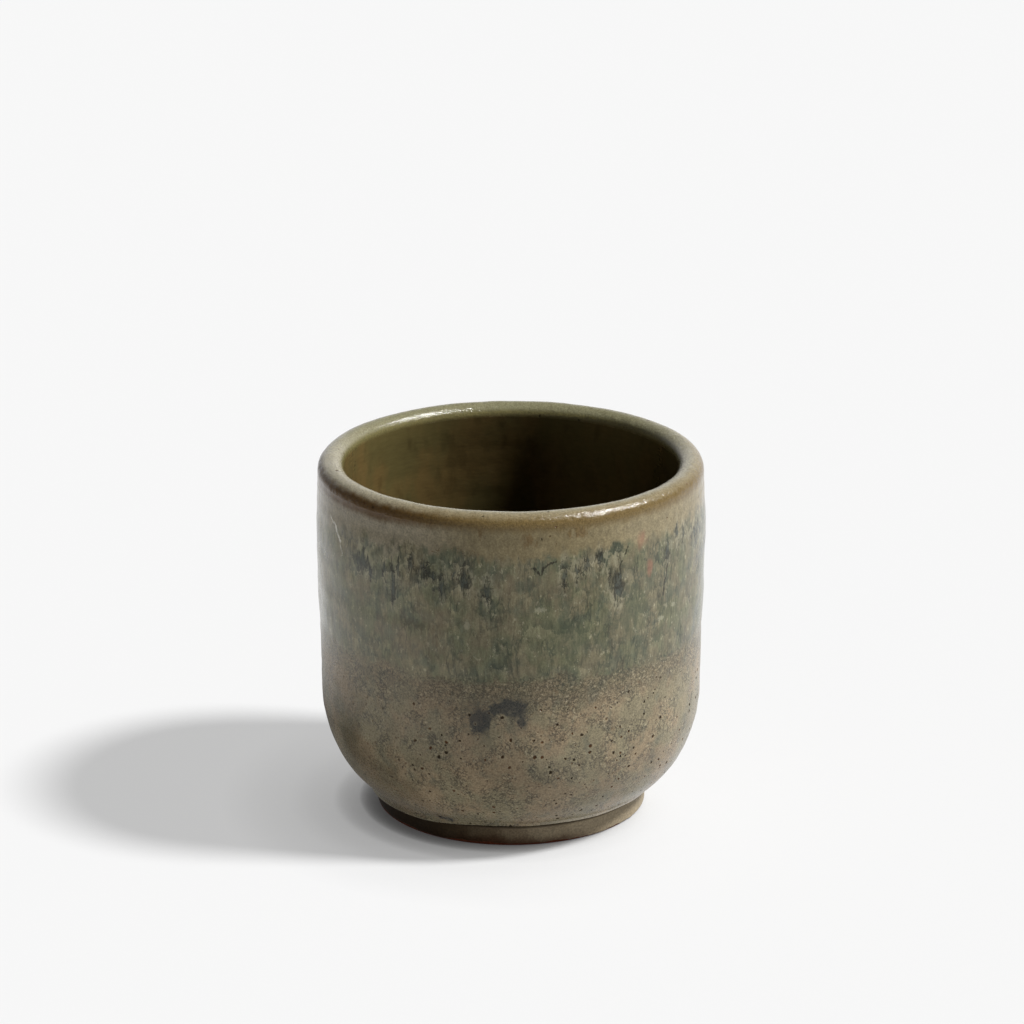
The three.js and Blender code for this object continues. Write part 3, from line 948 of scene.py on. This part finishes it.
lip_paint = outer_glaze("lip_glaze")
base_paint = same_paint(lip_paint, "base_glaze")
coat("lip_coat", outer_spring, inner_spring, LIP_BACK, lip_paint, "lip_glaze")
coat("base_coat", 0.0, outer_spring, COAT_BACK, base_paint, "base_glaze")
make_upper(same_paint(lip_paint, "upper_glaze"))
make_liner(inner_glaze("liner_glaze"))
make_clay(bare_clay("body_clay", "#4e3523", "#6b4c34", SPRING))
# The foot ring is painted dark near its top, as shade in the groove under the bowl.
make_ring(bare_clay("foot_clay", "#52281a", "#663622", foot_high[2] - 0.6))
make_foot_coat(foot_coat("foot_glaze"))

# Floor, light and camera.
CAMERA_DISTANCE = 918.7
CAMERA_HEIGHT = 371.2
CAMERA_PITCH = 18.57
CAMERA_SIDE = 0.23
FOCAL_PIXELS = 4713.9
IMAGE_PIXELS = 1024
SUN_WAY = Vector((62.0, -8.0, 75.0))
SUN_STRENGTH = 5.1
SUN_ANGLE = 9.0
SKY_FRONT, SKY_BACK = 1.15, 1.05
OVERHEAD, MIRRORED_OVERHEAD = 0.03, 0.08
SEEN_WHITE = 0.93
MIRRORED_SIDE, MIRRORED_SHADOW = 0.15, 0.15
FLOOR_GLOW, FLOOR_SEEN, FLOOR_BOUNCE = 0.51, 0.318, 0.4
MIRRORED_FRONT = 0.3
FLOOR_SIDE = 3.0
SHADE_SAMPLES = 8
SHADES = [(0.004, 2.3), (0.009, 0.85), (0.016, 0.25), (0.028, 0.35)]
SHADE_WAY = (0.87, 0.5, 0.0)


def ramp(tree, value, low, high, to_low, to_high):
    node = tree.nodes.new("ShaderNodeMapRange")
    node.interpolation_type = "SMOOTHSTEP"
    tree.links.new(value, node.inputs["Value"])
    for name, number in (("From Min", low), ("From Max", high), ("To Min", to_low), ("To Max", to_high)):
        node.inputs[name].default_value = number
    return node.outputs[0]


def combine(tree, operation, a, b):
    node = tree.nodes.new("ShaderNodeMath")
    node.operation = operation
    tree.links.new(a, node.inputs[0])
    tree.links.new(b, node.inputs[1])
    return node.outputs[0]


def make_floor():
    """White floor that keeps the shadow."""
    material = bpy.data.materials.new("pale_floor")
    material.use_nodes = True
    tree = material.node_tree
    tree.nodes.clear()
    rays = tree.nodes.new("ShaderNodeLightPath").outputs
    seen = add_shaders(tree, emission(tree, near_shade(tree)), diffuse(tree, FLOOR_SEEN))
    bounced = mix_shaders(tree, rays["Is Diffuse Ray"], seen, diffuse(tree, FLOOR_BOUNCE))
    mirrored = mix_shaders(tree, rays["Is Glossy Ray"], bounced, emission(tree, mirrored_floor(tree)))
    out = tree.nodes.new("ShaderNodeOutputMaterial")
    tree.links.new(mirrored, out.inputs[0])
    side = FLOOR_SIDE
    mesh = bpy.data.meshes.new("floor")
    corners = [(-side, -side, 0), (side, -side, 0), (side, side, 0), (-side, side, 0)]
    mesh.from_pydata(corners, [], [(0, 1, 2, 3)])
    floor = bpy.data.objects.new("floor", mesh)
    floor.data.materials.append(material)
    bpy.context.scene.collection.objects.link(floor)


def near_shade(tree):
    """Fill light on the floor, less where the cup hides it: shades from tight to wide, each with a reach in
    metres and a power."""
    tilt = tree.nodes.new("ShaderNodeCombineXYZ")
    for axis, value in zip("XYZ", SHADE_WAY):
        tilt.inputs[axis].default_value = value
    level = None
    for reach, power in SHADES:
        open_sky = tree.nodes.new("ShaderNodeAmbientOcclusion")
        open_sky.samples = SHADE_SAMPLES
        open_sky.inputs["Distance"].default_value = reach
        tree.links.new(tilt.outputs[0], open_sky.inputs["Normal"])
        shade = scaled(tree, "POWER", open_sky.outputs["AO"], power)
        level = combine(tree, "MULTIPLY", level, shade) if level else shade
    return scaled(tree, "MULTIPLY", level, FLOOR_GLOW)


def scaled(tree, operation, value, number):
    node = tree.nodes.new("ShaderNodeMath")
    node.operation = operation
    node.inputs[1].default_value = number
    tree.links.new(value, node.inputs[0])
    return node.outputs[0]


def mirrored_floor(tree):
    """How bright glossy surfaces see the floor: dimmer in front and far to the left, where the camera and
    the dark side of a set would be, and in the shadow of the cup."""
    where = tree.nodes.new("ShaderNodeTexCoord")
    parts = tree.nodes.new("ShaderNodeSeparateXYZ")
    tree.links.new(where.outputs["Object"], parts.inputs[0])
    front = ramp(tree, parts.outputs["Y"], -0.15, -0.06, MIRRORED_FRONT, SEEN_WHITE)
    left = ramp(tree, parts.outputs["X"], -0.4, -0.12, MIRRORED_SIDE, 1.0)
    shadow = ramp(tree, parts.outputs["X"], -0.01, 0.035, MIRRORED_SHADOW, 1.0)
    away = tree.nodes.new("ShaderNodeVectorMath")
    away.operation = "LENGTH"
    tree.links.new(where.outputs["Object"], away.inputs[0])
    near = combine(tree, "MAXIMUM", shadow, ramp(tree, away.outputs["Value"], 0.05, 0.13, 0.0, 1.0))
    return combine(tree, "MULTIPLY", combine(tree, "MULTIPLY", front, left), near)


def emission(tree, strength):
    node = tree.nodes.new("ShaderNodeEmission")
    tree.links.new(strength, node.inputs["Strength"])
    return node.outputs[0]


def diffuse(tree, shade):
    node = tree.nodes.new("ShaderNodeBsdfDiffuse")
    node.inputs["Color"].default_value = (shade, shade, shade, 1)
    return node.outputs[0]


def add_shaders(tree, a, b):
    node = tree.nodes.new("ShaderNodeAddShader")
    tree.links.new(a, node.inputs[0])
    tree.links.new(b, node.inputs[1])
    return node.outputs[0]


def mix_shaders(tree, factor, a, b):
    node = tree.nodes.new("ShaderNodeMixShader")
    for place, value in enumerate((factor, a, b)):
        tree.links.new(value, node.inputs[place])
    return node.outputs[0]


def make_sky():
    """Pale studio: soft fill, dimmer overhead, with a white background for the camera."""
    world = bpy.data.worlds.new("studio")
    bpy.context.scene.world = world
    world.use_nodes = True
    tree = world.node_tree
    where = tree.nodes.new("ShaderNodeTexCoord")
    parts = tree.nodes.new("ShaderNodeSeparateXYZ")
    tree.links.new(where.outputs["Generated"], parts.inputs[0])
    overhead = ramp(tree, parts.outputs["Z"], 0.04, 0.38, 1.0, OVERHEAD)
    fill = combine(tree, "MULTIPLY", ramp(tree, parts.outputs["Y"], -1, 1, SKY_FRONT, SKY_BACK), overhead)
    low = ramp(tree, parts.outputs["Z"], 0.1, 0.55, SEEN_WHITE, MIRRORED_OVERHEAD)
    behind = ramp(tree, parts.outputs["Y"], 0.6, 0.95, MIRRORED_SIDE, 1.0)
    mirrored = combine(tree, "MULTIPLY", low, behind)
    rays = tree.nodes.new("ShaderNodeLightPath").outputs
    sharp = combine(tree, "MAXIMUM", rays["Is Glossy Ray"], rays["Is Transmission Ray"])
    level = blend(tree, sharp, fill, mirrored)
    white = tree.nodes.new("ShaderNodeMix")
    white.inputs[3].default_value = SEEN_WHITE
    tree.links.new(rays["Is Camera Ray"], white.inputs[0])
    tree.links.new(level, white.inputs[2])
    tree.links.new(white.outputs[0], tree.nodes["Background"].inputs["Strength"])
    tree.nodes["Background"].inputs["Color"].default_value = (1, 1, 1, 1)


def blend(tree, factor, a, b):
    node = tree.nodes.new("ShaderNodeMix")
    for place, value in enumerate((factor, None, a, b)):
        if value:
            tree.links.new(value, node.inputs[place])
    return node.outputs[0]


def make_sun():
    lamp = bpy.data.lights.new("key", "SUN")
    lamp.energy = SUN_STRENGTH
    lamp.angle = math.radians(SUN_ANGLE)
    sun = bpy.data.objects.new("key", lamp)
    sun.rotation_euler = SUN_WAY.to_track_quat("Z", "Y").to_euler()
    bpy.context.scene.collection.objects.link(sun)


def make_camera():
    lens = bpy.data.cameras.new("camera")
    lens.sensor_width = 36.0
    lens.lens = lens.sensor_width * FOCAL_PIXELS / IMAGE_PIXELS
    camera = bpy.data.objects.new("camera", lens)
    camera.location = Vector((CAMERA_SIDE, -CAMERA_DISTANCE, CAMERA_HEIGHT)) * MM
    camera.rotation_euler = (math.radians(90 - CAMERA_PITCH), 0, 0)
    bpy.context.scene.collection.objects.link(camera)
    bpy.context.scene.camera = camera


make_floor()
make_sky()
make_sun()
make_camera()
bpy.context.scene.view_settings.view_transform = "Standard"
